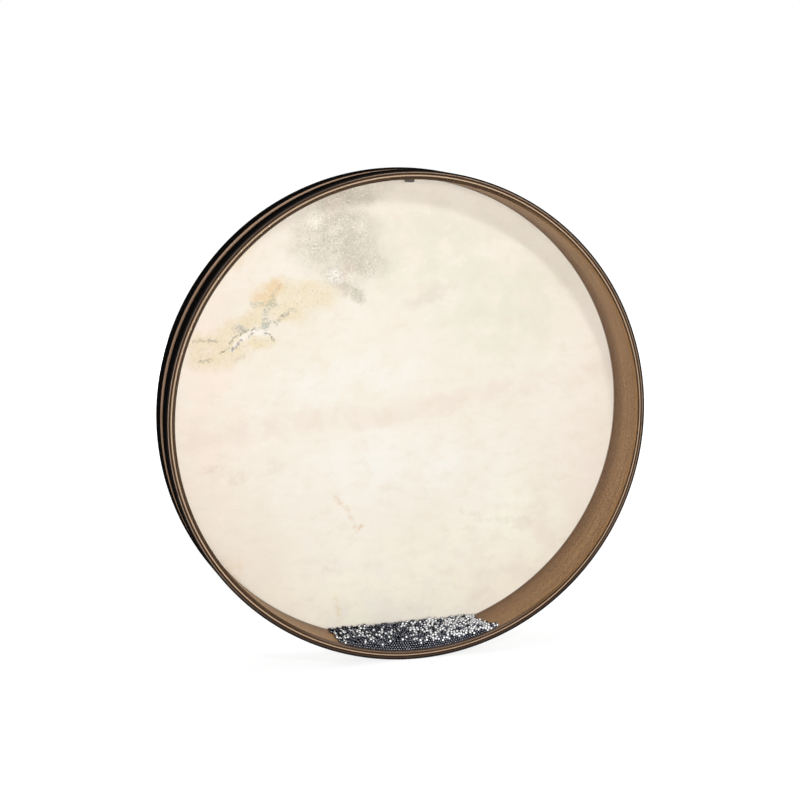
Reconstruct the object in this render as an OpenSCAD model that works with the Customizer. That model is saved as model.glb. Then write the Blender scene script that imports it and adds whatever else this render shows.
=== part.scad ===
// Ocean drum: a shallow two-headed frame drum with loose steel beads inside.
// The drum stands upright: its axis lies along Y, the clear head faces -Y, the skin head faces +Y, Z is up.
// The origin is the centre of the drum. Lengths are in millimetres.

/* [Drum] */
// Outside diameter, over the ribbons
drum_d = 558.8; // [500:0.2:610]
// Depth, from the outside of the clear head to the outside of the skin head
drum_depth = 75.5; // [72:0.5:90]

/* [Shell] */
// Wall thickness of the bent wooden shell
shell_t = 5.5; // [4.5:0.1:8]
// Radius of the rounded bearing edge that carries each head
bearing_r = 1.4; // [1:0.1:2]
// Chamfer on the inside of a bearing edge
shell_chamfer = 2.6; // [1:0.1:3]

/* [Heads] */
// Thickness of the clear film
film_t = 0.3; // [0.2:0.05:0.5]
// Thickness of the goat skin
skin_t = 0.7; // [0.4:0.05:1]
// Length of head tucked down between shell and hoop
tuck = 14; // [6:1:20]

/* [Hoops] */
// Thickness of the wooden hoop round each head
hoop_t = 3.4; // [2.5:0.1:5]
// Width of a hoop along the drum's axis
hoop_w = 25.5; // [22:0.5:27]
// Distance from the outside of a head back to the edge of its hoop
hoop_set_back = 2; // [1.5:0.1:3]
// Bevel on the edge of a hoop that meets the head
hoop_bevel = 0.8; // [0.4:0.1:1]

/* [Ribbons] */
// Thickness of the grosgrain ribbon
ribbon_t = 0.8; // [0.5:0.1:1]
// Width of ribbon folded over the edge of the hoop
ribbon_fold = 1.5; // [0.5:0.1:2]

/* [Filling plug] */
// Diameter of the rubber plug in the shell
plug_d = 11.4; // [8:0.1:13]
// Diameter of the head of the plug
plug_head_d = 17; // [15:0.5:19]
// Thickness of the head of the plug
plug_head_t = 2.6; // [1.5:0.1:3.4]
// Length of plug that stands out of the inner wall
plug_reach = 4.7; // [1:0.1:6]
// Turn of the plug from the top of the drum, clockwise from the front
plug_turn = 3.4; // [-20:0.2:20]

/* [Beads] */
// Diameter of the dark beads
dark_bead_d = 3; // [2:0.1:4]
// Diameter of the bright beads
bright_bead_d = 3.5; // [2:0.1:4]
// Height of the settled heap above the lowest point of the inner wall
heap_h = 17.6; // [12:0.2:24]
// Share of the places on top of the heap that hold a loose bead
loose_share = 0.4; // [0.1:0.05:0.6]
// Share of bright beads among the loose ones at the left end of the heap
bright_share_left = 0.2; // [0:0.05:1]
// Share of bright beads among the loose ones at the right end of the heap
bright_share_right = 0.65; // [0:0.05:1]

/* [Hidden] */
$fn = 720;
bead_fn = 24;

// Radii, from the outside in
ribbon_out_r = drum_d / 2;
hoop_out_r = ribbon_out_r - ribbon_t;
shell_out_r = hoop_out_r - hoop_t - skin_t;
shell_in_r = shell_out_r - shell_t;
bearing_centre_r = shell_out_r - bearing_r;

// Distances of the bearing edges and hoop edges from the middle of the drum, along its axis
half_depth = drum_depth / 2;
front_edge = half_depth - film_t;
back_edge = half_depth - skin_t;
hoop_edge = half_depth - hoop_set_back;

// Plug: the hole leaves a sliding fit, and the head sits just clear of the shell
plug_slack = 0.1;
plug_round = 1;

// Stretch of the shell round the hole for the plug, which is a node of its own
port_l = 2.4 * plug_head_d;

// Beads: the heap keeps clear of everything that it rolls past, and the loose ones stay just clear of the bed
bead_gap = 0.4;
loose_lift = 0.1;
loose_pitch = 1.06 * max(dark_bead_d, bright_bead_d);
bed_r = shell_in_r - bead_gap;
bed_top = heap_h - bright_bead_d - loose_lift - shell_in_r;
bed_front = front_edge - bead_gap;
bed_back = back_edge - bead_gap;

// The groove under the bed passes the plug. It is wide, so that the heap weighs as much as packed beads do
groove_w = 20;
groove_depth = plug_reach + 1.5;

// Places for loose beads: staggered rows on top of the bed, inside the drum
bead_clear_r = max(dark_bead_d, bright_bead_d) / 2 + bead_gap;
loose_half_l = sqrt(pow(bed_r, 2) - pow(bed_top, 2)) - bead_clear_r;
row_step = loose_pitch * sin(60);
row_count = floor((bed_front + bed_back - 2 * bead_clear_r) / row_step);
column_count = floor(2 * loose_half_l / loose_pitch);
loose_sites = [
    for (row = [0 : row_count], column = [0 : column_count - 1])
        [(column + (row % 2) / 2) * loose_pitch - loose_half_l, bed_back - bead_clear_r - row * row_step]
];
filled_luck = rands(0, 1, len(loose_sites), 11);
bright_luck = rands(0, 1, len(loose_sites), 23);

function is_filled(i) = filled_luck[i] < loose_share;
function rightward(x) = (x + loose_half_l) / (2 * loose_half_l);
function bright_share(x) = bright_share_left + (bright_share_right - bright_share_left) * rightward(x);
function is_bright(i) = bright_luck[i] < bright_share(loose_sites[i].x);

// Turns a profile about the drum's axis. In the profile X is the radius and Y points to the front.
module spun() {
    rotate([90, 0, 0]) rotate_extrude() children();
}

module to_back() {
    mirror([0, 1, 0]) children();
}

module along_plug() {
    rotate([0, plug_turn, 0]) children();
}

// Quarter of a disc, which rounds off a corner
module corner_round(radius) {
    intersection() {
        circle(radius);
        square(radius);
    }
}

// Waste cut from one end of the shell wall: the chamfer inside and the round outside the bearing edge
module bearing_waste(edge) {
    translate([shell_in_r, edge]) polygon([[0, 0], [shell_chamfer, 0], [0, -shell_chamfer]]);
    translate([bearing_centre_r, edge - bearing_r]) difference() {
        square(bearing_r);
        circle(bearing_r);
    }
}

// Shell wall with a bearing edge at each end
module shell_profile() {
    difference() {
        translate([shell_in_r, -back_edge]) square([shell_t, front_edge + back_edge]);
        bearing_waste(front_edge);
        mirror([0, 1]) bearing_waste(back_edge);
    }
}

// Flat head that rolls over the bearing edge
module head_profile(edge, thickness) {
    translate([0, edge]) square([bearing_centre_r, thickness]);
    translate([bearing_centre_r, edge - bearing_r]) difference() {
        corner_round(bearing_r + thickness);
        circle(bearing_r);
    }
}

// Rest of the head, which runs on down between shell and hoop
module skirt_profile(edge, thickness) {
    translate([shell_out_r, edge - bearing_r - tuck]) square([thickness, tuck]);
}

// Hoop that clamps the tucked head; its bevel leaves a groove beside the bearing edge
module hoop_profile(head_thickness) {
    inner_r = shell_out_r + head_thickness;
    polygon([
        [inner_r, hoop_edge - hoop_w],
        [hoop_out_r, hoop_edge - hoop_w],
        [hoop_out_r, hoop_edge],
        [inner_r + hoop_bevel, hoop_edge],
        [inner_r, hoop_edge - hoop_bevel]
    ]);
}

// Ribbon glued round the hoop and folded over its edge
module ribbon_profile() {
    translate([hoop_out_r, hoop_edge - hoop_w]) square([ribbon_t, hoop_w]);
    translate([hoop_out_r - ribbon_fold, hoop_edge]) square([ribbon_fold, ribbon_t]);
    translate([hoop_out_r, hoop_edge]) corner_round(ribbon_t);
}

// Stopper with a rounded nose inside the drum and a rounded head outside
module plug_profile() {
    shank_r = plug_d / 2;
    head_r = plug_head_d / 2;
    nose = shell_in_r - plug_reach;
    seat = shell_out_r + plug_slack;
    translate([0, nose + plug_round]) square([shank_r, seat - nose - plug_round]);
    translate([0, nose]) square([shank_r - plug_round, plug_round]);
    translate([shank_r - plug_round, nose + plug_round]) circle(plug_round);
    translate([0, seat]) square([head_r, plug_head_t - plug_round]);
    translate([0, seat]) square([head_r - plug_round, plug_head_t]);
    translate([head_r - plug_round, seat + plug_head_t - plug_round]) circle(plug_round);
}

// Block round the hole for the plug, as deep as the drum
module port_block() {
    along_plug() translate([-port_l / 2, -half_depth, bearing_centre_r / 2])
        cube([port_l, drum_depth, bearing_centre_r]);
}

module shell() {
    color("#8a6a4a") difference() {
        spun() shell_profile();
        port_block();
    }
}

// The same strip of wood where the plug goes through it
module fill_port() {
    color("#8a6a4a") difference() {
        intersection() {
            spun() shell_profile();
            port_block();
        }
        along_plug() cylinder(h = ribbon_out_r, d = plug_d + 2 * plug_slack);
    }
}

module front_hoop() {
    color("#7d6650") spun() hoop_profile(film_t);
}

module back_hoop() {
    color("#7d6650") to_back() spun() hoop_profile(skin_t);
}

module clear_head() {
    color("#f2f2ee", 0.3) spun() head_profile(front_edge, film_t);
}

module clear_skirt() {
    color("#f2f2ee", 0.3) spun() skirt_profile(front_edge, film_t);
}

module skin_head() {
    color("#f5e8d8") to_back() spun() head_profile(back_edge, skin_t);
}

module skin_skirt() {
    color("#f5e8d8") to_back() spun() skirt_profile(back_edge, skin_t);
}

module front_ribbon() {
    color("#121010") spun() ribbon_profile();
}

module back_ribbon() {
    color("#121010") to_back() spun() ribbon_profile();
}

module fill_plug() {
    color("#4a4746") along_plug() rotate_extrude() plug_profile();
}

// Stand-in for the packed beads under the loose ones
module bead_bed() {
    bed_l = bed_front + bed_back;
    color("#23252f") difference() {
        intersection() {
            translate([0, bed_back, 0]) rotate([90, 0, 0]) cylinder(h = bed_l, r = bed_r);
            translate([-bed_r, -bed_front, -bed_r]) cube([2 * bed_r, bed_l, bed_r + bed_top]);
        }
        spun() translate([bed_r - groove_depth, -groove_w / 2]) square([2 * groove_depth, groove_w]);
    }
}

// Loose beads of one kind, each resting on the bed
module loose_beads(diameter, bright) {
    for (i = [0 : len(loose_sites) - 1])
        if (is_filled(i) && is_bright(i) == bright)
            translate([loose_sites[i].x, loose_sites[i].y, bed_top + loose_lift + diameter / 2])
                sphere(d = diameter, $fn = bead_fn);
}

module dark_beads() {
    color("#2c2e38") loose_beads(dark_bead_d, false);
}

module bright_beads() {
    color("#dcdce2") loose_beads(bright_bead_d, true);
}

shell();
fill_port();
front_hoop();
back_hoop();
clear_head();
clear_skirt();
skin_head();
skin_skirt();
front_ribbon();
back_ribbon();
fill_plug();
bead_bed();
dark_beads();
bright_beads();
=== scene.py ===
import math

import bmesh
import bpy
import numpy as np
from mathutils import Matrix, Quaternion, Vector, noise
from mathutils.kdtree import KDTree


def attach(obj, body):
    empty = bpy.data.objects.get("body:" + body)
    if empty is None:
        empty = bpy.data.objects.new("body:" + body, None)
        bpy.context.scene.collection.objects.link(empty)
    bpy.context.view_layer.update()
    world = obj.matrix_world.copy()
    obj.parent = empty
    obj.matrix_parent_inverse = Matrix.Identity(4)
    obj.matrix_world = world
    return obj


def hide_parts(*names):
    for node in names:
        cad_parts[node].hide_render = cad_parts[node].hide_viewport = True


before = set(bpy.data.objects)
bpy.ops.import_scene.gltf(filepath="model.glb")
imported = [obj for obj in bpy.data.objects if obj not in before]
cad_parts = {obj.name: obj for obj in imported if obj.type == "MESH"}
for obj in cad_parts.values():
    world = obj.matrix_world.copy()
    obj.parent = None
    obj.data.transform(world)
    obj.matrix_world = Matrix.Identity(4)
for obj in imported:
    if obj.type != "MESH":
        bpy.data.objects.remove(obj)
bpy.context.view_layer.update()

# SHELL. One strip of hardwood, steam-bent into a ring, glued in a long scarf joint, stained and varnished.
# Each end is turned to a bearing edge, rounded outside and chamfered inside, for a head to lie on. Outlines
# are (radius, y, rounding) in millimetres: y runs along the drum's axis and is negative in front.
SHELL_IN, SHELL_OUT = 269.0, 274.5
SHELL_FRONT, SHELL_BACK = -37.38, 37.03
FRONT_CHAMFER, BACK_CHAMFER = 2.6, 1.0
EDGE_ROUND = 1.4
SCARF_TURN = math.radians(162)
SCARF_SLOPE = 9.0
PLUG_HOLE_R = 5.8
PLUG_LEAN = math.radians(3.4)
PLUG_WAY = Vector((math.sin(PLUG_LEAN), 0, math.cos(PLUG_LEAN)))


def eased(corners, steps=5):
    """A closed outline with each corner rounded."""
    line = []
    for i, (radius, y, rounding) in enumerate(corners):
        corner = Vector((radius, y))
        if rounding == 0:
            line.append(corner)
            continue
        back = (Vector(corners[i - 1][:2]) - corner).normalized()
        ahead = (Vector(corners[(i + 1) % len(corners)][:2]) - corner).normalized()
        half = back.angle(ahead) / 2
        centre = corner + (back + ahead).normalized() * rounding / math.sin(half)
        start = corner + back * rounding / math.tan(half) - centre
        end = corner + ahead * rounding / math.tan(half) - centre
        for step in range(steps + 1):
            toward = start.lerp(end, step / steps).normalized()
            line.append(centre + toward * rounding)
    return line


def turned(name, outline, turns=720):
    """A piece whose closed outline is turned about the drum's axis."""
    around = np.linspace(0, 2 * math.pi, turns, endpoint=False)
    radius, y = np.array([tuple(point) for point in outline]).T / 1000
    count = len(radius)
    spots = np.empty((turns, count, 3))
    spots[..., 0] = np.cos(around)[:, None] * radius
    spots[..., 1] = y
    spots[..., 2] = np.sin(around)[:, None] * radius
    ring, point = np.mgrid[:turns, :count]
    ahead, beside = (ring + 1) % turns * count, (point + 1) % count
    faces = np.stack([ring * count + point, ahead + point, ahead + beside, ring * count + beside], -1)
    mesh = bpy.data.meshes.new(name)
    mesh.from_pydata(spots.reshape(-1, 3).tolist(), [], faces.reshape(-1, 4).tolist())
    closed(mesh)
    piece = bpy.data.objects.new(name, mesh)
    bpy.context.scene.collection.objects.link(piece)
    return piece


def closed(mesh, sharp=50):
    """Closes poles and seams, points faces outwards and shades the curved ones smooth."""
    work = bmesh.new()
    work.from_mesh(mesh)
    bmesh.ops.remove_doubles(work, verts=work.verts, dist=2e-6)
    bmesh.ops.recalc_face_normals(work, faces=work.faces)
    work.to_mesh(mesh)
    work.free()
    mesh.shade_smooth()
    mesh.set_sharp_from_angle(angle=math.radians(sharp))


def finished(piece):
    """Turns a piece's modifiers into its plain mesh."""
    evaluated = piece.evaluated_get(bpy.context.evaluated_depsgraph_get())
    mesh = bpy.data.meshes.new_from_object(evaluated)
    piece.modifiers.clear()
    piece.data = mesh


def put(tree, kind, sockets=None, **settings):
    """A node, with its sockets set to a value or joined to another node's socket."""
    made = tree.nodes.new(kind)
    for name, value in settings.items():
        setattr(made, name, value)
    for key, value in (sockets or {}).items():
        if isinstance(value, bpy.types.NodeSocket):
            tree.links.new(value, made.inputs[key])
        else:
            made.inputs[key].default_value = value
    return made


def work_out(tree, operation, *values):
    """A sum on numbers."""
    return put(tree, "ShaderNodeMath", dict(enumerate(values)), operation=operation).outputs[0]


def vector_work(tree, operation, *values):
    """A sum on vectors."""
    made = put(tree, "ShaderNodeVectorMath", dict(enumerate(values)), operation=operation)
    return made.outputs["Value" if operation in ("LENGTH", "DOT_PRODUCT") else "Vector"]


def grain(tree, place, stretch, detail=3.0, roughness=0.55, distortion=0.0):
    """Noise from 0 to 1, stretch of it to the metre along each axis."""
    sockets = {
        "Vector": vector_work(tree, "MULTIPLY", place, stretch),
        "Scale": 1,
        "Detail": detail,
        "Roughness": roughness,
        "Distortion": distortion,
    }
    return put(tree, "ShaderNodeTexNoise", sockets).outputs[0]


def fade(tree, value, start, end):
    """0 at start and 1 at end."""
    sockets = {"Value": value, "From Min": start, "From Max": end}
    return put(tree, "ShaderNodeMapRange", sockets, interpolation_type="SMOOTHSTEP").outputs[0]


def spread(tree, value, low, high):
    """Low at 0 and high at 1."""
    return put(tree, "ShaderNodeMapRange", {"Value": value, "To Min": low, "To Max": high}).outputs[0]


def over(tree, share, under, upper, how="MIX"):
    """A share of the upper colour laid over the one under it."""
    sockets = {0: share, 6: under, 7: upper}
    return put(tree, "ShaderNodeMix", sockets, data_type="RGBA", blend_type=how).outputs[2]


def seen(red, green, blue):
    """A colour as it is seen, from 0 to 255, in the light values that a shader takes."""
    part = [c / 255 for c in (red, green, blue)]
    return (*(c / 12.92 if c < 0.04045 else ((c + 0.055) / 1.055) ** 2.4 for c in part), 1)


def finish_of(name):
    """A new material, its nodes and its main shader."""
    material = bpy.data.materials.new(name)
    material.use_nodes = True
    tree = material.node_tree
    return material, tree, tree.nodes["Principled BSDF"]


def bent_wood(name, pale, stain, deep, pore, edge_colour_and_shade):
    """Stained wood with its grain running round the drum, broken at the scarf joint."""
    material, tree, shader = finish_of(name)
    place = put(tree, "ShaderNodeTexCoord").outputs["Object"]
    x, y, z = put(tree, "ShaderNodeSeparateXYZ", {0: place}).outputs
    radius = vector_work(tree, "LENGTH", put(tree, "ShaderNodeCombineXYZ", {0: x, 2: z}).outputs[0])
    mean_r = (SHELL_IN + SHELL_OUT) / 2000
    strip_l = 2 * math.pi * mean_r
    scarf = SCARF_TURN * mean_r + SCARF_SLOPE * mean_r
    bent = work_out(tree, "MULTIPLY", work_out(tree, "ARCTAN2", z, x), mean_r)
    bent = work_out(tree, "MULTIPLY_ADD", radius, SCARF_SLOPE, bent)
    along = work_out(tree, "WRAP", bent, scarf, scarf - strip_l)
    strip = put(tree, "ShaderNodeCombineXYZ", {0: along, 1: y, 2: radius}).outputs[0]

    figure = grain(tree, strip, (2.2, 38, 38), 4, 0.55, 0.4)
    streak = grain(tree, strip, (8, 170, 170), 5, 0.7)
    fibre = grain(tree, strip, (24, 800, 800), 3, 0.65)
    pores = fade(tree, grain(tree, strip, (60, 900, 900), 2), 0.56, 0.68)
    cloud = grain(tree, strip, (13, 17, 17), 3)
    colour = over(tree, spread(tree, fade(tree, figure, 0.25, 0.75), 0.3, 1), deep, stain)
    colour = over(tree, work_out(tree, "MULTIPLY", fade(tree, streak, 0.5, 0.72), 0.55), colour, deep)
    colour = over(tree, work_out(tree, "MULTIPLY", fade(tree, streak, 0.46, 0.3), 0.4), colour, pale)
    colour = over(tree, work_out(tree, "MULTIPLY", fade(tree, fibre, 0.4, 0.72), 0.4), colour, deep)
    colour = over(tree, work_out(tree, "MULTIPLY", pores, 0.5), colour, pore)
    colour = over(tree, 0.2, colour, spread(tree, cloud, 0.25, 0.75), "OVERLAY")
    flake = grain(tree, strip, (380, 200, 200), 4, 0.7)
    colour = over(tree, 0.3, colour, fade(tree, flake, 0.3, 0.7), "OVERLAY")
    to_end = work_out(tree, "SUBTRACT", scarf, along)
    to_start = work_out(tree, "SUBTRACT", along, scarf - strip_l)
    glue = fade(tree, work_out(tree, "MINIMUM", to_end, to_start), 0.0007, 0.0002)
    colour = over(tree, work_out(tree, "MULTIPLY", glue, 0.7), colour, pore)
    # The edge colours laid on here include painted shade, painted shadow and painted highlights.
    colour = edge_colour_and_shade(tree, colour, x, y, z, radius)
    tree.links.new(colour, shader.inputs["Base Color"])
    tree.links.new(spread(tree, fibre, 0.4, 0.58), shader.inputs["Roughness"])
    height = work_out(tree, "SUBTRACT", fibre, work_out(tree, "MULTIPLY", pores, 0.6))
    bump = put(tree, "ShaderNodeBump", {"Strength": 0.3, "Distance": 0.0002, "Height": height})
    tree.links.new(bump.outputs[0], shader.inputs["Normal"])
    shader.inputs["Specular IOR Level"].default_value = 0.16
    return material


def bearing_edge_shade_and_highlight(tree, colour, x, y, z, radius):
    """Painted shade darkens the wall towards the skin and a line inside each ridge, and a painted shadow
    lies where the beads meet the front chamfer. The chamfers are greyer on the left and dark brown at the
    bottom, and the ridge is worn pale with a painted highlight.
    """
    # Painted shade: the inner wall is coloured darker towards the skin.
    back = work_out(tree, "MULTIPLY", fade(tree, y, -0.006, 0.038), fade(tree, radius, 0.2712, 0.2705))
    colour = over(tree, work_out(tree, "MULTIPLY", back, 0.75), colour, seen(104, 70, 42))
    end = work_out(tree, "ABSOLUTE", y)
    inward = fade(tree, radius, 0.2728, 0.2722)
    chamfer = work_out(tree, "MULTIPLY", fade(tree, end, 0.0343, 0.0349), inward)
    # The chamfers are coloured greyer on the left and dark brown at the bottom, and barely on the right.
    more_to_left = spread(tree, fade(tree, x, 0.1, 0.24), 0.9, 0.12)
    low = fade(tree, z, -0.225, -0.262)
    chamfer_colour = over(tree, low, seen(60, 40, 20), seen(138, 114, 100))
    # Painted shadow: the inner part of the chamfer is darkened at the bottom, where the beads lie against it.
    bead_contact_shadow = work_out(tree, "MULTIPLY", low, fade(tree, radius, 0.2706, 0.2698))
    chamfer_colour = over(tree, bead_contact_shadow, chamfer_colour, seen(66, 58, 56))
    colour = over(tree, work_out(tree, "MULTIPLY", chamfer, more_to_left), colour, chamfer_colour)
    # Painted shade: a dark line is coloured just inside each ridge.
    from_in = fade(tree, radius, 0.2708, 0.2713)
    from_out = fade(tree, radius, 0.2732, 0.2727)
    line = work_out(tree, "MULTIPLY", from_in, from_out)
    line = work_out(tree, "MULTIPLY", line, fade(tree, end, 0.0358, 0.0364))
    colour = over(tree, work_out(tree, "MULTIPLY", line, 0.95), colour, seen(50, 30, 12))
    # The ridge is coloured pale tan, partly worn wood and partly a painted highlight where the film rolls
    # over it.
    on_ridge = fade(tree, radius, 0.2728, 0.2732)
    ridge_wear_and_highlight = work_out(tree, "MULTIPLY", on_ridge, fade(tree, end, 0.0346, 0.0352))
    return over(tree, work_out(tree, "MULTIPLY", ridge_wear_and_highlight, 0.95), colour, seen(204, 174, 144))


shell = turned("bent_shell", eased([
    (SHELL_IN, SHELL_BACK - BACK_CHAMFER, 0.4),
    (SHELL_IN + BACK_CHAMFER, SHELL_BACK, 0.3),
    (SHELL_OUT, SHELL_BACK, EDGE_ROUND),
    (SHELL_OUT, SHELL_FRONT, EDGE_ROUND),
    (SHELL_IN + FRONT_CHAMFER, SHELL_FRONT, 0.3),
    (SHELL_IN, SHELL_FRONT + FRONT_CHAMFER, 0.5),
]))
drill_mesh = bpy.data.meshes.new("drill")
drill_work = bmesh.new()
drill_turn = PLUG_WAY.to_track_quat("Z", "Y").to_matrix().to_4x4()
bmesh.ops.create_cone(
    drill_work,
    cap_ends=True,
    segments=72,
    radius1=PLUG_HOLE_R / 1000,
    radius2=PLUG_HOLE_R / 1000,
    depth=0.04,
    matrix=Matrix.Translation(PLUG_WAY * SHELL_IN / 1000) @ drill_turn,
)
drill_work.to_mesh(drill_mesh)
drill_work.free()
drill = bpy.data.objects.new("drill", drill_mesh)
bpy.context.scene.collection.objects.link(drill)
hole = shell.modifiers.new("plug_hole", "BOOLEAN")
hole.object = drill
hole.operation = "DIFFERENCE"
hole.solver = "EXACT"
finished(shell)
bpy.data.objects.remove(drill)
shell.data.set_sharp_from_angle(angle=math.radians(50))
shell.data.materials.clear()
shell.data.materials.append(bent_wood(
    "stained_shell_wood", seen(193, 153, 108), seen(173, 134, 91), seen(137, 100, 63), seen(85, 57, 34),
    bearing_edge_shade_and_highlight))
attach(shell, "drum")
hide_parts("shell", "fill_port")

# SKIN HEAD. A scraped goat skin, stretched wet over the back edge of the shell and tucked down under the
# back hoop, where it dried tight. It is ivory with pink and yellow clouds, and keeps the animal's grey
# flecks, a stain and a healed scratch near the upper left.
SKIN_IN, SKIN_OUT, SKIN_HEM = 37.05, 37.75, 21.65
SKIN_T = 0.7
FLAT_R = 266
SLACK = 0.12
skin_line = [(radius, SKIN_IN, 0) for radius in np.linspace(0, FLAT_R, 39)]
skin_line += [
    (SHELL_OUT, SKIN_IN, EDGE_ROUND),
    (SHELL_OUT, SKIN_HEM, 0),
    (SHELL_OUT + SKIN_T, SKIN_HEM, 0),
    (SHELL_OUT + SKIN_T, SKIN_OUT, EDGE_ROUND + SKIN_T),
]
skin_line += [(radius, SKIN_OUT, 0) for radius in np.linspace(FLAT_R, 0, 39)]
skin = turned("goat_skin", eased(skin_line), 480)
for point in skin.data.vertices:
    from_rim = 0.268 - math.hypot(point.co.x, point.co.z)
    if from_rim > 0:
        broad = noise.noise((point.co.x * 9, point.co.z * 9, 3.1))
        fine = noise.noise((point.co.x * 31, point.co.z * 31, 8.2))
        point.co.y -= SLACK / 1000 * abs(broad + 0.4 * fine) * min(1, from_rim / 0.03)

goat, tree, shader = finish_of("goat_skin")
place = put(tree, "ShaderNodeTexCoord").outputs["Object"]
x, y, z = put(tree, "ShaderNodeSeparateXYZ", {0: place}).outputs
flat = put(tree, "ShaderNodeCombineXYZ", {0: x, 2: z}).outputs[0]


def strayed(course, scale, reach):
    """Places on the skin led astray by noise, scale of it to the metre, for edges that wander."""
    stray = put(tree, "ShaderNodeTexNoise", {"Vector": flat, "Scale": scale, "Detail": 3, "Roughness": 0.6})
    aside = vector_work(tree, "SUBTRACT", stray.outputs[1], (0.5, 0.5, 0.5))
    return vector_work(tree, "MULTIPLY_ADD", aside, (reach, 0, reach), course)


crept = strayed(strayed(flat, 55, 0.022), 210, 0.009)
frayed = strayed(strayed(flat, 60, 0.007), 260, 0.009)
speck = grain(tree, flat, (420, 420, 420), 3, 0.6)
crumb = grain(tree, flat, (380, 380, 380), 3, 0.65)
fleck = grain(tree, flat, (150, 150, 150), 4, 0.65)
blotch = grain(tree, crept, (48, 48, 48), 4, 0.6)
wisp = grain(tree, crept, (26, 26, 26), 5, 0.6)
mottle = grain(tree, crept, (40, 40, 90), 7, 0.72)


def patch(middle_x, middle_z, half_l, half_w, turn=0.0, core=0.2):
    """1 in the middle of a soft-edged patch on the skin, sizes in millimetres and its turn in degrees."""
    sockets = {
        "Vector": crept,
        "Location": (middle_x / 1000, 0, middle_z / 1000),
        "Rotation": (0, -math.radians(turn), 0),
        "Scale": (half_l / 1000, 1, half_w / 1000),
    }
    inside = put(tree, "ShaderNodeMapping", sockets, vector_type="TEXTURE").outputs[0]
    return fade(tree, vector_work(tree, "LENGTH", inside), 1, core)


def stroke(points, half_w, course=frayed):
    """1 along a line of points on the skin, in millimetres."""
    nearest = None
    for (x0, z0), (x1, z1) in zip(points, points[1:]):
        run = Vector((x1 - x0, 0, z1 - z0)) / 1000
        reach = vector_work(tree, "SUBTRACT", course, (x0 / 1000, 0, z0 / 1000))
        share = vector_work(tree, "DOT_PRODUCT", reach, run / run.length_squared)
        share = put(tree, "ShaderNodeClamp", {0: share}).outputs[0]
        foot = put(tree, "ShaderNodeVectorMath", {0: run, "Scale": share}, operation="SCALE").outputs[0]
        off = vector_work(tree, "LENGTH", vector_work(tree, "SUBTRACT", reach, foot))
        nearest = off if nearest is None else work_out(tree, "MINIMUM", nearest, off)
    return fade(tree, nearest, half_w / 1000, half_w / 4000)


def joined(*masks):
    """Several masks as one."""
    whole = masks[0]
    for mask in masks[1:]:
        whole = work_out(tree, "MAXIMUM", whole, mask)
    return whole


def marked(colour, mask, amount, mark, broken=None):
    """The skin's colour with a mark on it, which may be broken up by a noise."""
    if broken is not None:
        mask = work_out(tree, "MULTIPLY", mask, broken)
    return over(tree, work_out(tree, "MULTIPLY", mask, amount), colour, mark)


broken_wisp = fade(tree, wisp, 0.34, 0.62)
broken_blotch = fade(tree, blotch, 0.34, 0.6)
broken_fleck = fade(tree, fleck, 0.38, 0.58)
crumbs = spread(tree, fade(tree, crumb, 0.42, 0.56), 0.1, 1)
dark_specks = work_out(tree, "MULTIPLY", fade(tree, speck, 0.5, 0.62), broken_fleck)
pale_specks = fade(tree, speck, 0.44, 0.34)
clouds = fade(tree, grain(tree, crept, (7.5, 7.5, 7.5), 5, 0.55), 0.35, 0.65)
ivory = over(tree, clouds, seen(240, 232, 219), seen(243, 236, 226))

# Broad clouds: rosy at the left, white over the middle, greenish at the upper right, yellow below, and a
# warmer line right across where the animal's back was. The darker greenish grey at the upper right and
# along the top is partly painted shade under the rim. Fine mottling lies over them all.
for where, amount, mark in (
    (patch(-235, 40, 95, 230), 0.85, seen(246, 231, 221)),
    (patch(-50, 38, 150, 46), 0.8, seen(244, 241, 236)),
    (patch(10, -68, 175, 58, -4), 0.8, seen(244, 241, 235)),
    (patch(130, 120, 130, 120), 0.8, seen(230, 228, 211)),
    (patch(30, 185, 150, 80), 0.85, seen(229, 226, 209)),
    (patch(150, -150, 120, 90), 0.7, seen(248, 246, 233)),
    (patch(225, -70, 50, 90), 0.7, seen(243, 232, 224)),
    (patch(0, -225, 290, 110), 0.75, seen(249, 243, 225)),
    (patch(-190, -175, 70, 60), 0.5, seen(241, 228, 211)),
    (patch(-172, 190, 60, 14, 50), 0.7, seen(240, 226, 203)),
):
    ivory = marked(ivory, where, amount, mark, broken_wisp)
back_line = stroke([(-252, -18), (-112, -6), (-17, -6), (67, 3), (141, 15), (268, 30)], 20, crept)
ivory = marked(ivory, back_line, 0.75, seen(236, 223, 212), broken_wisp)
ivory = marked(ivory, fade(tree, mottle, 0.48, 0.7), 0.5, seen(232, 221, 204))
ivory = marked(ivory, fade(tree, mottle, 0.46, 0.3), 0.5, seen(247, 243, 234))

# Grey cloud of hair roots at the upper left, with a tail down to the right and pale scars among the flecks.
grey_cloud = joined(
    patch(-58, 207, 64, 52, -30, 0.3),
    patch(-88, 200, 42, 50, 10, 0.1),
    patch(-32, 172, 42, 28, -8, 0.2),
    patch(-58, 156, 38, 22, -30, 0.2),
    patch(-42, 138, 18, 11, -42, 0.2),
    patch(-50, 246, 80, 20, 10, 0.1),
)
patchy = work_out(tree, "MULTIPLY", spread(tree, broken_wisp, 0.5, 1), spread(tree, broken_blotch, 0.5, 1))
ivory = marked(ivory, grey_cloud, 0.95, seen(196, 190, 173), patchy)
ivory = marked(ivory, grey_cloud, 0.5, seen(226, 206, 196), fade(tree, wisp, 0.5, 0.64))
ivory = marked(ivory, grey_cloud, 0.75, seen(178, 173, 162), dark_specks)
ivory = marked(ivory, grey_cloud, 0.85, seen(250, 246, 236), pale_specks)
ivory = marked(ivory, patch(45, 129, 52, 13, 17), 0.5, seen(222, 208, 198), broken_blotch)
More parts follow.
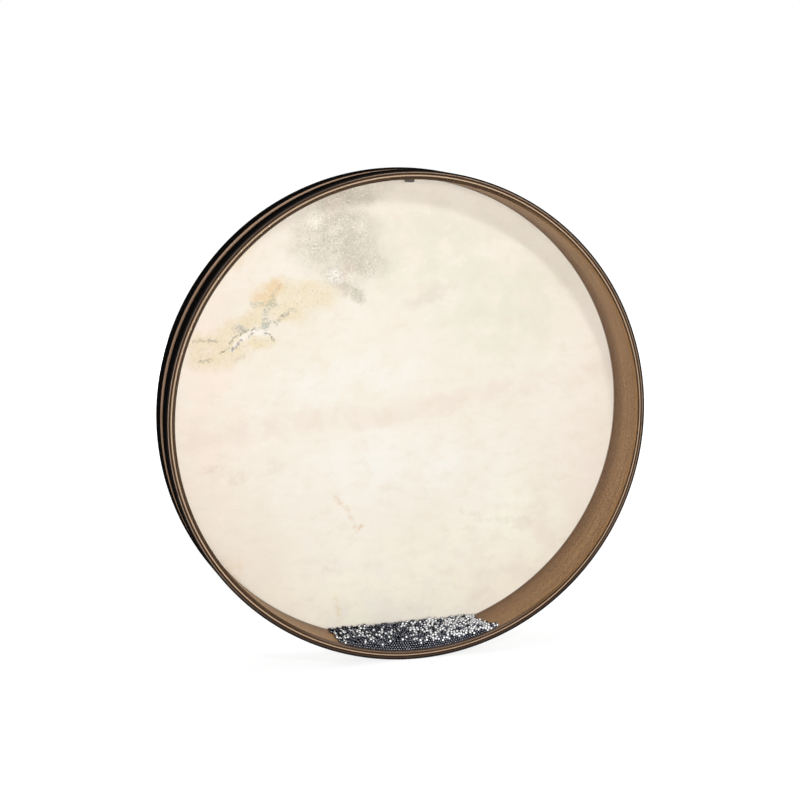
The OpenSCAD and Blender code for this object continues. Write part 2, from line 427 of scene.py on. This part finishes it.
for where, amount, mark in (
    (patch(-86, 224, 14, 16), 0.9, seen(250, 246, 234)),
    (patch(-66, 158, 16, 14), 0.9, seen(249, 247, 239)),
    (patch(-48, 156, 10, 9), 0.8, seen(246, 242, 231)),
):
    ivory = marked(ivory, where, amount, mark, crumbs)

# Yellow stain with two orange hearts, and the healed scratch in it: grey bruises, a white scar, dark lips.
stain = joined(
    patch(-112, 138, 70, 26, -4, 0.35),
    patch(-122, 120, 38, 18, -20, 0.3),
    patch(-204, 80, 50, 28, 8, 0.4),
    patch(-158, 88, 30, 12, 4, 0.3),
    patch(-176, 110, 50, 18, 24, 0.3),
    patch(-222, 92, 30, 16),
)
ivory = marked(ivory, stain, 0.85, seen(235, 220, 187), spread(tree, broken_blotch, 0.5, 1))
ivory = marked(ivory, stain, 0.65, seen(200, 190, 162), dark_specks)
for where in (patch(-150, 139, 24, 18, 30, 0), patch(-136, 149, 22, 14, 34, 0)):
    ivory = marked(ivory, where, 0.65, seen(230, 196, 146), spread(tree, broken_fleck, 0.4, 1))
ivory = marked(ivory, stroke([(-137, 143), (-130, 152)], 2.5), 0.5, seen(206, 172, 150), crumbs)
for where, amount, mark in (
    (patch(-180, 105, 15, 6, -14), 0.8, seen(186, 177, 174)),
    (patch(-150, 108, 8, 9, 40), 0.9, seen(166, 176, 168)),
    (patch(-174, 104, 10, 5, 10), 0.7, seen(176, 174, 160)),
    (stroke([(-163, 104), (-154, 104)], 3), 0.6, seen(182, 178, 162)),
    (stroke([(-150, 111), (-148, 121), (-143, 128), (-139, 137)], 6), 0.7, seen(184, 180, 160)),
    (stroke([(-163, 131), (-147, 132), (-136, 131)], 4.5), 0.6, seen(186, 183, 160)),
    (stroke([(-146, 110), (-135, 110), (-130, 116), (-124, 118)], 4), 0.7, seen(180, 175, 158)),
    (stroke([(-130, 116), (-123, 117)], 2.6), 0.6, seen(160, 152, 130)),
    (stroke([(-122, 121), (-114, 122)], 3.4), 0.55, seen(184, 178, 158)),
    (stroke([(-232, 94), (-224, 94), (-215, 93), (-206, 92)], 3), 0.8, seen(176, 167, 148)),
    (patch(-220, 70, 11, 5, 5), 0.8, seen(176, 167, 148)),
    (stroke([(-187, 68), (-176, 74)], 4), 0.5, seen(194, 185, 167)),
):
    ivory = marked(ivory, where, amount, mark, crumbs)
scar = stroke([(-189, 82), (-180, 92), (-172, 98), (-162, 99), (-147, 98)], 4)
ivory = marked(ivory, scar, 0.75, seen(249, 246, 240), broken_fleck)
for points, half_w, mark in (
    ([(-203, 79), (-196, 82), (-188, 84)], 1.5, seen(140, 131, 108)),
    ([(-192, 88), (-186, 94), (-180, 98), (-172, 103), (-160, 103)], 1.7, seen(140, 135, 116)),
    ([(-189, 82), (-184, 84), (-181, 88), (-178, 92)], 2.4, seen(150, 140, 150)),
    ([(-169, 97), (-163, 99)], 1.6, seen(146, 137, 112)),
    ([(-151, 98), (-145, 95), (-140, 90)], 1.9, seen(140, 132, 114)),
):
    ivory = marked(ivory, stroke(points, half_w), 0.85, mark, crumbs)

# Lesser marks lower down: brown freckles at the left, a thin scratch and a few spots.
for where, amount, mark in (
    (patch(-218, -54, 26, 9, 12), 0.45, seen(220, 202, 186)),
    (patch(-190, -69, 16, 12, 30), 0.45, seen(220, 202, 186)),
    (patch(-144, -56, 16, 14, -10), 0.35, seen(224, 208, 192)),
    (stroke([(-76, -98), (-62, -112), (-56, -128), (-51, -140)], 4), 0.55, seen(226, 202, 174)),
    (patch(-50, -137, 6, 5), 0.6, seen(224, 190, 150)),
    (patch(-199, -174, 22, 14, -50), 0.5, seen(232, 212, 182)),
    (patch(-77, -230, 8, 24, 4), 0.6, seen(234, 218, 188)),
    (patch(-87, -184, 10, 6), 0.5, seen(220, 204, 186)),
    (stroke([(76, -128), (110, -140), (162, -145)], 5, crept), 0.4, seen(228, 216, 202)),
):
    ivory = marked(ivory, where, amount, mark, broken_fleck)
ivory = over(tree, 0.22, ivory, spread(tree, speck, 0.1, 0.9), "OVERLAY")

# Painted shade in the corner: the skin's outermost millimetre along the right wall is coloured dark brown.
corner_shade = fade(tree, vector_work(tree, "LENGTH", flat), 0.2678, 0.2682)
corner_shade = work_out(tree, "MULTIPLY", corner_shade, fade(tree, y, 0.0375, 0.0373))
corner_shade = work_out(tree, "MULTIPLY", corner_shade, fade(tree, x, 0.02, 0.1))
ivory = marked(ivory, corner_shade, 0.9, seen(120, 90, 64))
tree.links.new(ivory, shader.inputs["Base Color"])
tree.links.new(spread(tree, fleck, 0.5, 0.72), shader.inputs["Roughness"])
shader.inputs["Specular IOR Level"].default_value = 0.3
height = work_out(tree, "MULTIPLY_ADD", fleck, 0.7, work_out(tree, "MULTIPLY", speck, 0.3))
bump = put(tree, "ShaderNodeBump", {"Strength": 0.25, "Distance": 0.0003, "Height": height})
tree.links.new(bump.outputs[0], shader.inputs["Normal"])
skin.data.materials.append(goat)
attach(skin, "drum")
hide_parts("skin_head", "skin_skirt")

# CLEAR HEAD. A disc of clear polyester film, drawn over the front edge of the shell and tucked down under
# the front hoop. It is glossy, so it shows mainly where it rolls over the bearing edge.
FILM_IN, FILM_OUT, FILM_HEM = -37.47, -37.72, -22.1
FILM_IN_R, FILM_OUT_R = 274.58, 274.76
FILM_IOR = 1.12
film = turned("clear_film", eased([
    (0, FILM_IN, 0),
    (90, FILM_IN, 0),
    (180, FILM_IN, 0),
    (FILM_IN_R, FILM_IN, 1.5),
    (FILM_IN_R, FILM_HEM, 0),
    (FILM_OUT_R, FILM_HEM, 0),
    (FILM_OUT_R, FILM_OUT, 1.7),
    (180, FILM_OUT, 0),
    (90, FILM_OUT, 0),
    (0, FILM_OUT, 0),
], 8))
clear, tree, shader = finish_of("clear_film")
tree.nodes.remove(shader)
through = put(tree, "ShaderNodeBsdfTransparent", {"Color": (0.985, 0.985, 0.98, 1)})
gloss = put(tree, "ShaderNodeBsdfGlossy", {"Color": (1, 1, 1, 1), "Roughness": 0.03})
# Seen from within, the inner face would be a mirror at a slant. Its index is turned over to stay clear.
inner_face = put(tree, "ShaderNodeNewGeometry").outputs["Backfacing"]
film_index = spread(tree, inner_face, FILM_IOR, 1 / FILM_IOR)
edge_on = put(tree, "ShaderNodeFresnel", {"IOR": film_index})
film_mix = put(tree, "ShaderNodeMixShader", {
    0: edge_on.outputs[0],
    1: through.outputs[0],
    2: gloss.outputs[0],
})
tree.links.new(film_mix.outputs[0], tree.nodes["Material Output"].inputs["Surface"])
film.data.materials.append(clear)
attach(film, "drum")
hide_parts("clear_head", "clear_skirt")

# HOOPS. Two thin strips of the same wood, bent round the tucked heads and glued, which hold them tight. The
# inner edge of each is bevelled beside the head, and leaves a narrow groove there.
HOOP_OUT, HOOP_EDGE, HOOP_FAR = 278.6, 35.75, 10.25
HOOP_BEVEL = 0.8


def hoop_edge_shade_and_light(tree, colour, x, y, z, radius):
    """Painted shade darkens the groove beside the head and the far edge along the ribbon, the end face is
    darker at the bottom and upper left, and painted light makes the side face toward the middle pale.
    """
    end = fade(tree, work_out(tree, "ABSOLUTE", y), 0.0342, 0.0347)
    # The hoop's end face is coloured darker at the bottom and at the upper left.
    upper_left = work_out(tree, "MULTIPLY", fade(tree, x, -0.01, -0.1), fade(tree, z, 0.06, 0.14))
    upper_left = work_out(tree, "MULTIPLY", upper_left, 0.9)
    dark_rim = work_out(tree, "MAXIMUM", fade(tree, z, -0.1, -0.22), upper_left)
    dark_rim = work_out(tree, "MULTIPLY", work_out(tree, "MULTIPLY", end, dark_rim), 0.86)
    colour = over(tree, dark_rim, colour, seen(34, 20, 12))
    # Painted shade: the groove beside the head and the outer part of the side face along the ribbon are dark.
    groove_shade = work_out(tree, "MULTIPLY", end, fade(tree, radius, 0.2768, 0.2764))
    # Painted light: the hoop's side face toward the middle of the drum is coloured pale.
    side_face = fade(tree, work_out(tree, "ABSOLUTE", y), 0.0112, 0.0107)
    colour = over(tree, work_out(tree, "MULTIPLY", side_face, 0.9), colour, seen(222, 187, 158))
    far_edge_shade = work_out(tree, "MULTIPLY", side_face, fade(tree, radius, 0.278, 0.2784))
    dark = work_out(tree, "MAXIMUM", groove_shade, far_edge_shade)
    return over(tree, work_out(tree, "MULTIPLY", dark, 0.95), colour, seen(46, 24, 12))


hoop_wood = bent_wood(
    "hoop_wood", seen(190, 164, 140), seen(166, 140, 116), seen(130, 106, 84), seen(70, 50, 36), hoop_edge_shade_and_light)
for name, side, inner, node in (
    ("front_hoop_ring", -1, 274.8, "front_hoop"),
    ("back_hoop_ring", 1, 275.2, "back_hoop"),
):
    hoop = turned(name, eased([
        (inner, side * HOOP_FAR, 0.3),
        (HOOP_OUT, side * HOOP_FAR, 0.4),
        (HOOP_OUT, side * HOOP_EDGE, 0.4),
        (inner + HOOP_BEVEL, side * HOOP_EDGE, 0.3),
        (inner, side * (HOOP_EDGE - HOOP_BEVEL), 0.3),
    ]))
    hoop.data.materials.append(hoop_wood)
    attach(hoop, "drum")
    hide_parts(node)

# RIBBONS. Black grosgrain ribbon, glued round each hoop with its outer edge folded over the hoop's rim. The
# weft makes ribs across it, about six to the centimetre, and turns round at the selvedges.
RIBS, RIB_RISE, CLOTH_T, GLUE_T = 1033, 0.3, 0.45, 0.02
RIB_SHAPE = ((-0.5, 0.0), (-0.27, 0.72), (0.0, 1.0), (0.27, 0.72), (0.5, 0.0))

black, tree, shader = finish_of("black_grosgrain")
place = put(tree, "ShaderNodeTexCoord").outputs["Object"]
x, y, z = put(tree, "ShaderNodeSeparateXYZ", {0: place}).outputs
angle = work_out(tree, "ARCTAN2", x, z)
lie = put(tree, "ShaderNodeCombineXYZ", {0: work_out(tree, "MULTIPLY", angle, 0.279), 1: y}).outputs[0]
thread = grain(tree, lie, (700, 2600, 1), 2)
faded = grain(tree, lie, (14, 60, 1), 3)
phase = work_out(tree, "FRACT", work_out(tree, "MULTIPLY_ADD", angle, RIBS / (2 * math.pi), 0.5))
# Painted highlight: the crest of each rib is coloured lighter than its hollows.
crest = fade(tree, work_out(tree, "ABSOLUTE", work_out(tree, "SUBTRACT", phase, 0.5)), 0.38, 0.06)
lit = work_out(tree, "MULTIPLY", crest, spread(tree, thread, 0.3, 1))
cloth = over(tree, lit, seen(4, 3, 3), seen(56, 54, 52))
cloth = over(tree, work_out(tree, "MULTIPLY", fade(tree, faded, 0.5, 0.8), 0.2), cloth, seen(30, 28, 27))
tree.links.new(cloth, shader.inputs["Base Color"])
tree.links.new(spread(tree, thread, 0.7, 0.95), shader.inputs["Roughness"])
shader.inputs["Specular IOR Level"].default_value = 0
bump = put(tree, "ShaderNodeBump", {"Strength": 0.4, "Distance": 0.0001, "Height": thread})
tree.links.new(bump.outputs[0], shader.inputs["Normal"])


def socket_of(tree, name, kind, way="INPUT"):
    """A named input or output of a node group."""
    return tree.interface.new_socket(name=name, in_out=way, socket_type="NodeSocket" + kind)


ring_tree = bpy.data.node_groups.new("repeat_round_drum", "GeometryNodeTree")
ring_rows = (("Rib", "Geometry"), ("Ribs", "Int"), ("Cloth", "Material"))
ring_in = [socket_of(ring_tree, *row) for row in ring_rows]
socket_of(ring_tree, "Ribbon", "Geometry", "OUTPUT")
given = put(ring_tree, "NodeGroupInput").outputs
places = put(ring_tree, "GeometryNodePoints", {"Count": given["Ribs"]})
number = put(ring_tree, "GeometryNodeInputIndex").outputs[0]
step = work_out(ring_tree, "DIVIDE", 2 * math.pi, given["Ribs"])
turn = put(ring_tree, "ShaderNodeCombineXYZ", {1: work_out(ring_tree, "MULTIPLY", number, step)})
turn = put(ring_tree, "FunctionNodeEulerToRotation", {0: turn.outputs[0]})
ribs = put(ring_tree, "GeometryNodeInstanceOnPoints", {
    "Points": places.outputs[0], "Instance": given["Rib"], "Rotation": turn.outputs[0]})
ribs = put(ring_tree, "GeometryNodeRealizeInstances", {0: ribs.outputs[0]})
ribs = put(ring_tree, "GeometryNodeMergeByDistance", {"Geometry": ribs.outputs[0], "Distance": 1e-5})
ribs = put(ring_tree, "GeometryNodeSetMaterial", {"Geometry": ribs.outputs[0], "Material": given["Cloth"]})
put(ring_tree, "NodeGroupOutput", {0: ribs.outputs[0]})


def ribbon(name, side, node):
    """One rib of the ribbon as a mesh at the top of the drum, then repeated all round the hoop."""
    base_r, edge = HOOP_OUT + GLUE_T, HOOP_EDGE + GLUE_T
    run = [(HOOP_FAR, 0.25), (HOOP_FAR + 0.35, 0.85), (HOOP_FAR + 1.2, 1)]
    run += [(18.5, 1), (27, 1), (edge - 0.5, 1)]
    course = [(base_r, y, (1, 0), rise) for y, rise in run]
    for lean in (0, 30, 60, 90):
        out = (math.cos(math.radians(lean)), math.sin(math.radians(lean)))
        course.append((base_r, edge, out, 1))
    course += [(radius, edge, (0, 1), rise) for radius, rise in ((278.1, 1), (277.7, 0.85), (277.5, 0.25))]
    spots = []
    for radius, y, (out_r, out_y), rise in course:
        for across, height in ((-0.5, None), (0.5, None), *RIB_SHAPE):
            thick = 0 if height is None else CLOTH_T + RIB_RISE * height * rise
            at_r = radius + out_r * thick
            turn = across * 2 * math.pi / RIBS
            at_y = side * (y + out_y * thick)
            spots.append((math.sin(turn) * at_r / 1000, at_y / 1000, math.cos(turn) * at_r / 1000))
    wide = 2 + len(RIB_SHAPE)
    faces = []
    for row in range(len(course) - 1):
        here, ahead = row * wide, (row + 1) * wide
        faces.append((here, here + 1, ahead + 1, ahead))
        faces += [(here + k, ahead + k, ahead + k + 1, here + k + 1) for k in range(2, wide - 1)]
    for end in (0, (len(course) - 1) * wide):
        faces.append((end, *range(end + 2, end + wide), end + 1))
    mesh = bpy.data.meshes.new(name)
    mesh.from_pydata(spots, [], faces)
    piece = bpy.data.objects.new(name, mesh)
    bpy.context.scene.collection.objects.link(piece)
    wound = piece.modifiers.new("ribs", "NODES")
    wound.node_group = ring_tree
    wound[ring_in[1].identifier] = RIBS
    wound[ring_in[2].identifier] = black
    finished(piece)
    closed(piece.data, 60)
    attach(piece, "drum")
    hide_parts(node)


ribbon("front_grosgrain", -1, "front_ribbon")
ribbon("back_grosgrain", 1, "back_ribbon")

# FILLING PLUG. A moulded rubber stopper in the hole near the top of the shell, where the beads go in. Its
# nose stands a little out of the inner wall, and its head seats on the outside of the shell.
plug = turned("rubber_plug", eased([
    (0, 264.8, 0),
    (3.4, 264.8, 0.4),
    (4.0, 264.3, 0.3),
    (5.7, 264.3, 1.0),
    (5.7, 274.6, 0.2),
    (8.5, 274.6, 0.4),
    (8.5, 277.2, 1.0),
    (4.6, 277.2, 0.3),
    (4.1, 276.8, 0.3),
    (0, 276.8, 0),
], 4), 64)
plug.data.transform(PLUG_WAY.to_track_quat("Y", "Z").to_matrix().to_4x4())
rubber, tree, shader = finish_of("plug_rubber")
place = put(tree, "ShaderNodeTexCoord").outputs["Object"]
dust = grain(tree, place, (900, 900, 900), 4, 0.6)
bloom = grain(tree, place, (160, 160, 160), 3)
colour = over(tree, fade(tree, bloom, 0.35, 0.7), seen(66, 62, 62), seen(92, 87, 87))
dusted = work_out(tree, "MULTIPLY", fade(tree, dust, 0.6, 0.75), 0.4)
colour = over(tree, dusted, colour, seen(128, 122, 120))
tree.links.new(colour, shader.inputs["Base Color"])
tree.links.new(spread(tree, dust, 0.5, 0.75), shader.inputs["Roughness"])
bump = put(tree, "ShaderNodeBump", {"Strength": 0.2, "Distance": 0.0001, "Height": dust})
tree.links.new(bump.outputs[0], shader.inputs["Normal"])
plug.data.materials.append(rubber)
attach(plug, "plug")
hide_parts("fill_plug")

# BEADS. Thousands of steel shot, most of them dark and some larger and bright, loose between the two heads.
# They lie in a heap on the shell, close-packed against the film, with most of the bright ones at the right.
# The heap is settled here by letting the beads sink and push each other apart, in millimetres.
HEAP_R, HEAP_FRONT, HEAP_BACK, HEAP_TOP = 268.8, -37.05, 36.65, -251.4
DARK_D, BRIGHT_D, BEAD_PITCH, HEAP_SPARE = 3.0, 3.5, 3.13, 1.4
FRONT_DIP, BACK_RISE, BACK_ENDS, FRONT_ENDS, RIGHT_RISE = 4.0, 2.2, 4.5, 1.2, 2.4
HEAP_LAYERS, HEAP_ROWS, HALF_ROW, HALF_HEAP = 29, 10, 36, 95
STIRS, SINKS, SINK_STEP, PUSH, NEAR, TOUCH = 10, 24, 0.03, 0.35, 4.3, 4
CELL, TOP_LAYER, FILM_LAYER = 3.2, 2.2, 3.4
PLUG_PATH_HALF, PLUG_PATH_R = 8.2, 262
HEAP_SEED, BEAD_SEED = 11, 3
luck = np.random.default_rng(HEAP_SEED)
grid = np.mgrid[:HEAP_LAYERS, :HEAP_ROWS, -HALF_ROW:HALF_ROW + 1]
layer, row, column = (index.ravel() for index in grid)
spots = np.stack([
    (column + 0.5 * ((row + layer) % 2)) * BEAD_PITCH,
    HEAP_FRONT + DARK_D / 2 + layer * BEAD_PITCH * math.sqrt(2 / 3),
    -HEAP_R + DARK_D / 2 + (row + (layer % 2) / 3) * BEAD_PITCH * math.sqrt(3) / 2,
], 1)
# The heap's surface dips at the film in mid span and rises to the back, and its back ends fall away.
toward_film = np.clip(1 - (spots[:, 1] - HEAP_FRONT) / 40, 0, 1)
mid_span = np.clip(1 - ((spots[:, 0] - 20) / 80) ** 2, 0, 1)
backward = np.clip((spots[:, 1] - HEAP_FRONT) / (HEAP_BACK - HEAP_FRONT), 0, 1)
along_back = BACK_RISE - BACK_ENDS * ((spots[:, 0] + 12) / HALF_HEAP) ** 4
along_front = FRONT_ENDS * (spots[:, 0] / HALF_HEAP) ** 2 - FRONT_DIP * mid_span * toward_film
along_front += RIGHT_RISE * np.clip(spots[:, 0] / HALF_HEAP, 0, 1.1) ** 4
surface = HEAP_TOP + HEAP_SPARE + backward * along_back + (1 - backward) * along_front
under = surface - spots[:, 2]
inside = (np.hypot(spots[:, 0], spots[:, 2]) < HEAP_R - DARK_D / 2) & (spots[:, 1] < HEAP_BACK - 1)
inside &= (under > 2.6) | (under > 0) & (luck.random(len(spots)) < 0.6)
spots, under, backward = spots[inside], under[inside], backward[inside]
count = len(spots)
# Bright beads lie in clumps near the top, more of them at the right and few against the film.
near_film = spots[:, 1] < HEAP_FRONT + DARK_D
rightward = np.clip((spots[:, 0] + 15) / 60, 0, 1)
clump = np.array([noise.noise(spot / 11) for spot in spots])
bright_share = (0.15 + 0.46 * rightward) * (1.25 - 0.5 * backward) * (1 + 1.6 * clump)
bright_share[under > 6.5] = 0.04
bright_share[near_film] *= np.where(under[near_film] < 3, 0.6, 0.15)
bright = luck.random(count) < bright_share
size = np.where(bright, BRIGHT_D, DARK_D)
spots += luck.uniform(-1, 1, spots.shape) * np.where(near_film, 0.12, 0.5)[:, None]
# Each stir finds every bead's neighbours again.
for stir in range(STIRS):
    finder = KDTree(count)
    for index, spot in enumerate(spots):
        finder.insert(spot, index)
    finder.balance()
    pairs = [(index, other) for index, spot in enumerate(spots)
             for _, other, _ in finder.find_range(spot, NEAR) if other > index]
    one, two = np.array(pairs).T
    for sink in range(SINKS):
        spots[:, 2] -= SINK_STEP
        apart = spots[two] - spots[one]
        distance = np.linalg.norm(apart, axis=1)
        crowding = np.clip((size[one] + size[two]) / 2 - distance, 0, None)
        shove = apart * (PUSH * crowding / distance)[:, None]
        for axis in range(3):
            onward = np.bincount(two, shove[:, axis], count)
            spots[:, axis] += onward - np.bincount(one, shove[:, axis], count)
        spots[:, 1] = np.clip(spots[:, 1], HEAP_FRONT + size / 2, HEAP_BACK - size / 2)
        out = np.hypot(spots[:, 0], spots[:, 2])
        spots[:, ::2] *= np.minimum(1, (HEAP_R - size / 2) / out)[:, None]

# Beads that ended up on their own are dropped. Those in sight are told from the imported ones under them, and
# hidden ones that would meet the plug as the heap turns past it are left out.
met = distance < TOUCH
company = np.bincount(one[met], minlength=count) + np.bincount(two[met], minlength=count)
spots, bright = spots[company > 1], bright[company > 1]
cell = np.floor(spots[:, :2] / CELL).astype(int)
tops = {}
for (across, deep), height in zip(map(tuple, cell), spots[:, 2]):
    tops[across, deep] = max(height, tops.get((across, deep), -999))
local_top = np.array([tops[key] for key in map(tuple, cell)])
shown = (spots[:, 2] > local_top - TOP_LAYER) | (spots[:, 1] < HEAP_FRONT + FILM_LAYER)
plug_path = ~shown & (np.abs(spots[:, 1]) < PLUG_PATH_HALF)
plug_path &= np.hypot(spots[:, 0], spots[:, 2]) > PLUG_PATH_R

bead_tree = bpy.data.node_groups.new("bead_on_each_point", "GeometryNodeTree")
bead_rows = (
    ("Places", "Geometry"),
    ("Bead diameter", "Float"),
    ("Facets", "Int"),
    ("Seed", "Int"),
    ("Metal", "Material"),
)
bead_in = [socket_of(bead_tree, *row) for row in bead_rows]
socket_of(bead_tree, "Beads", "Geometry", "OUTPUT")
given = put(bead_tree, "NodeGroupInput").outputs
ball_r = work_out(bead_tree, "MULTIPLY", given["Bead diameter"], 0.5)
ball = put(bead_tree, "GeometryNodeMeshIcoSphere", {"Radius": ball_r, "Subdivisions": given["Facets"]})
any_turn = {0: (0, 0, 0), 1: (6.28, 6.28, 6.28), "Seed": given["Seed"]}
way_up = put(bead_tree, "FunctionNodeRandomValue", any_turn, data_type="FLOAT_VECTOR")
way_up = put(bead_tree, "FunctionNodeEulerToRotation", {0: way_up.outputs[0]})
beads = put(bead_tree, "GeometryNodeInstanceOnPoints", {
    "Points": given["Places"], "Instance": ball.outputs[0], "Rotation": way_up.outputs[0]})
tone = put(bead_tree, "FunctionNodeRandomValue", {"Seed": given["Seed"]}, data_type="FLOAT")
toned = {"Geometry": beads.outputs[0], "Name": "tone", "Value": tone.outputs[1]}
beads = put(bead_tree, "GeometryNodeStoreNamedAttribute", toned, data_type="FLOAT", domain="INSTANCE")
beads = put(bead_tree, "GeometryNodeRealizeInstances", {0: beads.outputs[0]})
beads = put(bead_tree, "GeometryNodeSetShadeSmooth", {"Geometry": beads.outputs[0]})
dressed = {"Geometry": beads.outputs[0], "Material": given["Metal"]}
beads = put(bead_tree, "GeometryNodeSetMaterial", dressed)
put(bead_tree, "NodeGroupOutput", {0: beads.outputs[0]})


def shot_metal(name, pale, deep, dark_rim, shade_span):
    """Steel shot, each bead with its own tone and faint scuffs. Painted highlight and shade: it is coloured
    bright where it faces the viewer and near black as it turns away.
    """
    material, tree, shader = finish_of(name)
    tone = put(tree, "ShaderNodeAttribute", attribute_name="tone").outputs["Fac"]
    place = put(tree, "ShaderNodeTexCoord").outputs["Object"]
    scuff = grain(tree, place, (1400, 1400, 1400), 3, 0.6)
    colour = over(tree, tone, deep, pale)
    colour = over(tree, work_out(tree, "MULTIPLY", fade(tree, scuff, 0.45, 0.75), 0.3), colour, deep)
    # Painted highlight and shade, set by the angle of view.
    facing = put(tree, "ShaderNodeLayerWeight", {"Blend": 0.5}).outputs["Facing"]
    colour = over(tree, fade(tree, facing, *shade_span), colour, dark_rim)
    tree.links.new(colour, shader.inputs["Base Color"])
    tree.links.new(spread(tree, scuff, 0.32, 0.52), shader.inputs["Roughness"])
    shader.inputs["Metallic"].default_value = 1
    shader.inputs["Specular Tint"].default_value = dark_rim
    return material


dark_steel = shot_metal(
    "dark_steel", seen(158, 159, 172), seen(108, 109, 122), seen(9, 9, 13), (0.03, 0.17))
bright_steel = shot_metal(
    "bright_steel", seen(250, 252, 255), seen(232, 233, 240), seen(26, 26, 30), (0.28, 0.62))
for name, chosen, diameter, facets, metal, slot, node in (
    ("packed_beads", ~shown & ~plug_path, DARK_D, 1, dark_steel, "dark_steel", "bead_bed"),
    ("loose_dark_beads", shown & ~bright, DARK_D, 2, dark_steel, "dark_steel", "dark_beads"),
    ("loose_bright_beads", shown & bright, BRIGHT_D, 2, bright_steel, "bright_steel", "bright_beads"),
):
    mesh = bpy.data.meshes.new(name)
    mesh.from_pydata((spots[chosen] / 1000).tolist(), [], [])
    piece = bpy.data.objects.new(name, mesh)
    bpy.context.scene.collection.objects.link(piece)
    strewn = piece.modifiers.new("beads", "NODES")
    strewn.node_group = bead_tree
    for socket, value in zip(bead_in[1:], (diameter / 1000, facets, BEAD_SEED, metal)):
        strewn[socket.identifier] = value
    finished(piece)
    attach(piece, "beads")
    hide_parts(node)

# STUDIO. The drum stands on its rim on a white floor in a white room. One softbox shines from almost
# straight in front, a small one from above it to the right and one on the skin behind. The room fills in.
FLOOR_Z = -0.2794
FLOOR_HALF = 9
floor_corners = [(x * FLOOR_HALF, y * FLOOR_HALF, FLOOR_Z) for x, y in ((-1, -1), (1, -1), (1, 1), (-1, 1))]
floor_mesh = bpy.data.meshes.new("floor")
floor_mesh.from_pydata(floor_corners, [], [(0, 1, 2, 3)])
floor = bpy.data.objects.new("floor", floor_mesh)
bpy.context.scene.collection.objects.link(floor)


def in_sight(tree):
    """1 for what the camera sees, also in a reflection or through a clear piece."""
    path = put(tree, "ShaderNodeLightPath").outputs
    mirrored = work_out(tree, "MAXIMUM", path["Is Camera Ray"], path["Is Glossy Ray"])
    return work_out(tree, "MAXIMUM", mirrored, path["Is Transmission Ray"])


white, tree, shader = finish_of("white_floor")
tree.nodes.remove(shader)
paint = put(tree, "ShaderNodeBsdfDiffuse", {"Color": (0.75, 0.75, 0.75, 1)})
shadow_paint = put(tree, "ShaderNodeBsdfDiffuse", {"Color": (0.4, 0.4, 0.4, 1)})
away = vector_work(tree, "LENGTH", put(tree, "ShaderNodeTexCoord").outputs["Object"])
# The floor's white is weaker round the drum, so that the shadow shows there.
strength = spread(tree, fade(tree, away, 0.5, 1.6), 0.81, 1)
glow = put(tree, "ShaderNodeEmission", {"Color": (1, 1, 1, 1), "Strength": strength})
lit = put(tree, "ShaderNodeAddShader", {0: shadow_paint.outputs[0], 1: glow.outputs[0]})
either = put(tree, "ShaderNodeMixShader", {0: in_sight(tree), 1: paint.outputs[0], 2: lit.outputs[0]})
tree.links.new(either.outputs[0], tree.nodes["Material Output"].inputs["Surface"])
floor.data.materials.append(white)

world = bpy.data.worlds.new("studio")
bpy.context.scene.world = world
world.use_nodes = True
tree = world.node_tree
room = tree.nodes["Background"]
room.inputs["Color"].default_value = (1, 1, 1, 1)
tree.links.new(spread(tree, in_sight(tree), 0.2, 1), room.inputs["Strength"])


def way_to(azimuth, elevation):
    """From the drum: azimuth 0 is straight in front and 90 at the right, in degrees."""
    across, up = math.radians(azimuth), math.radians(elevation)
    return Vector((math.sin(across) * math.cos(up), -math.cos(across) * math.cos(up), math.sin(up)))


def softbox(name, azimuth, elevation, distance, size, power):
    """A square lamp that faces the drum."""
    lamp = bpy.data.lights.new(name, "AREA")
    lamp.size = size
    lamp.energy = power
    stand = bpy.data.objects.new(name, lamp)
    toward = way_to(azimuth, elevation)
    stand.location = toward * distance
    stand.rotation_euler = toward.to_track_quat("Z", "Y").to_euler()
    bpy.context.scene.collection.objects.link(stand)


softbox("key_softbox", azimuth=9, elevation=27, distance=2.6, size=0.24, power=12.5)
softbox("front_softbox", azimuth=-7, elevation=5, distance=3, size=0.8, power=58)
softbox("back_softbox", azimuth=176, elevation=8, distance=3, size=0.8, power=54)

# CAMERA. It stands in front, to the left and a little above the drum, as in the photograph. It is rolled a
# little, and its shift puts the drum where the photograph has it.
CAMERA_AZIMUTH, CAMERA_ELEVATION, CAMERA_DISTANCE, CAMERA_ROLL = -14.47, 9.25, 2.654, -1.87
lens = bpy.data.cameras.new("camera")
lens.sensor_width = 36
lens.lens = 104.4
lens.shift_x = -0.0043
lens.shift_y = 0.0174
camera = bpy.data.objects.new("camera", lens)
toward = way_to(CAMERA_AZIMUTH, CAMERA_ELEVATION)
camera.location = toward * CAMERA_DISTANCE
level = (-toward).to_track_quat("-Z", "Y")
camera.rotation_mode = "QUATERNION"
camera.rotation_quaternion = level @ Quaternion((0, 0, 1), math.radians(CAMERA_ROLL))
bpy.context.scene.collection.objects.link(camera)
bpy.context.scene.camera = camera
bpy.context.scene.view_settings.view_transform = "Standard"
